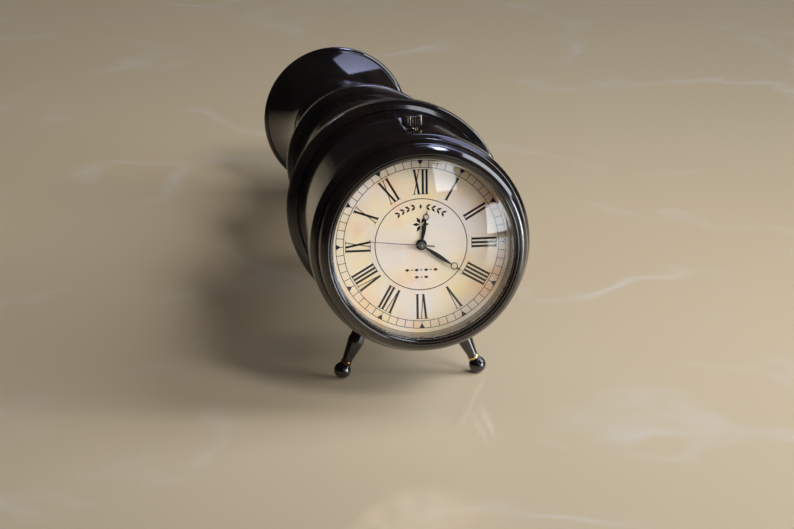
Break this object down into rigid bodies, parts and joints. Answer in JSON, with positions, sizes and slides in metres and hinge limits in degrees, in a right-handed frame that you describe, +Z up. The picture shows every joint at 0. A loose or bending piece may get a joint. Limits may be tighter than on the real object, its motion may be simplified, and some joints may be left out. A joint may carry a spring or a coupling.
{
  "type": "desk clock",
  "caption": "Desk clock shaped like a small telescope: domed glass over a Roman dial at the front, stepped black barrel, two ball-footed legs and a flared bell at the rear.",
  "frame": {"origin": "on the surface that the clock stands on, at the centre of its bounding box", "axes": "+Y to the rear along the clock's length, +X to the right of someone reading the dial, +Z up"},
  "size_m": [0.0732, 0.2628, 0.0897],
  "materials": {
    "black_lacquer": "glossy, worn to brass at edges",
    "worn_brass": "satin",
    "movement_brass": "satin",
    "steel": "brushed",
    "reflector_steel": "satin",
    "movement_plastic": "matte",
    "circuit_board": "satin",
    "copper_wire": "enamelled",
    "glass": "polished",
    "dial_parchment": "matte print",
    "hand_black": "satin"
  },
  "bodies": {
    "clock": {"bezel": "black_lacquer", "glass": "glass", "reflector_ring": "reflector_steel", "dial": "dial_parchment", "front_plate": "movement_brass", "rear_plate": "movement_brass", "plate_pillars": "movement_brass", "plate_screws": "steel", "motor_coil": "copper_wire", "motor_stator": "steel", "circuit_board": "circuit_board", "board_posts": "movement_plastic", "quartz_can": "steel", "timing_chip": "movement_plastic", "cell_holder": "movement_plastic", "button_cell": "steel", "movement_ring": "movement_plastic", "head_case": "steel", "head_lid": "steel", "stem_tube": "worn_brass", "drum": "black_lacquer", "flange": "black_lacquer", "spigot": "worn_brass", "union_ring": "black_lacquer", "barrel": "black_lacquer", "end_ring": "black_lacquer", "shoulder": "black_lacquer", "neck_bead": "black_lacquer", "draw_tube": "black_lacquer", "bell": "black_lacquer", "end_cap": "black_lacquer", "leg_left": "black_lacquer", "leg_right": "black_lacquer", "leg_collar_left": "worn_brass", "leg_collar_right": "worn_brass", "ball_foot_left": "black_lacquer", "ball_foot_right": "black_lacquer", "leg_nuts": "steel"},
    "seconds": {"seconds_wheel": "movement_brass", "second_hand": "hand_black"},
    "third": {"third_wheel": "movement_brass"},
    "centre": {"centre_wheel": "movement_brass"},
    "intermediate": {"intermediate_wheel": "movement_plastic"},
    "rotor": {"rotor": "steel"},
    "minutes": {"cannon_pinion": "movement_brass", "minute_hand": "hand_black"},
    "minute_wheel": {"minute_wheel": "movement_brass"},
    "hours": {"hour_wheel": "movement_brass", "hour_hand": "hand_black"},
    "setting": {"setting_arbor": "steel"},
    "stem_clip": {"stem_clip": "steel"},
    "crown": {"setting_stem": "steel", "crown": "black_lacquer"}
  },
  "joints": [
    {"name": "seconds_spin", "type": "hinge", "parent": "clock", "child": "seconds", "pos_m": [0, -0.1132, 0.05267], "axis": [0, 0.9945, -0.1043], "continuous": true},
    {"name": "third_spin", "type": "hinge", "parent": "clock", "child": "third", "pos_m": [0.00589, -0.11284, 0.05605], "axis": [0, 0.9945, -0.1043], "continuous": true},
    {"name": "centre_spin", "type": "hinge", "parent": "clock", "child": "centre", "pos_m": [0, -0.1132, 0.05267], "axis": [0, 0.9945, -0.1043], "continuous": true},
    {"name": "intermediate_spin", "type": "hinge", "parent": "clock", "child": "intermediate", "pos_m": [-0.00665, -0.1132, 0.05267], "axis": [0, 0.9945, -0.1043], "continuous": true},
    {"name": "rotor_spin", "type": "hinge", "parent": "clock", "child": "rotor", "pos_m": [-0.00798, -0.11358, 0.04902], "axis": [0, 0.9945, -0.1043], "continuous": true},
    {"name": "minutes_spin", "type": "hinge", "parent": "clock", "child": "minutes", "pos_m": [0, -0.11618, 0.05298], "axis": [0, 0.9945, -0.1043], "continuous": true},
    {"name": "minute_wheel_spin", "type": "hinge", "parent": "clock", "child": "minute_wheel", "pos_m": [-0.00424, -0.11574, 0.0572], "axis": [0, 0.9945, -0.1043], "continuous": true},
    {"name": "hours_spin", "type": "hinge", "parent": "clock", "child": "hours", "pos_m": [0, -0.11717, 0.05308], "axis": [0, 0.9945, -0.1043], "continuous": true},
    {"name": "setting_spin", "type": "hinge", "parent": "clock", "child": "setting", "pos_m": [0, -0.10933, 0.06079], "axis": [0, 0.9945, -0.1043], "continuous": true},
    {"name": "crown_pull", "type": "slide", "parent": "clock", "child": "stem_clip", "axis": [0, 0.1043, 0.9945], "range_m": [0, 0.0012]},
    {"name": "crown_turn", "type": "hinge", "parent": "stem_clip", "child": "crown", "pos_m": [0, -0.09614, 0.08104], "axis": [0, 0.1043, 0.9945], "continuous": true}
  ],
  "couplings": [
    {"joint": "third_spin", "follows": "seconds_spin", "ratio": -0.13333},
    {"joint": "centre_spin", "follows": "seconds_spin", "ratio": 0.016667},
    {"joint": "intermediate_spin", "follows": "seconds_spin", "ratio": -6},
    {"joint": "rotor_spin", "follows": "seconds_spin", "ratio": 30},
    {"joint": "minute_wheel_spin", "follows": "minutes_spin", "ratio": -0.33333},
    {"joint": "hours_spin", "follows": "minutes_spin", "ratio": 0.083333},
    {"joint": "setting_spin", "follows": "minutes_spin", "ratio": 1}
  ]
}
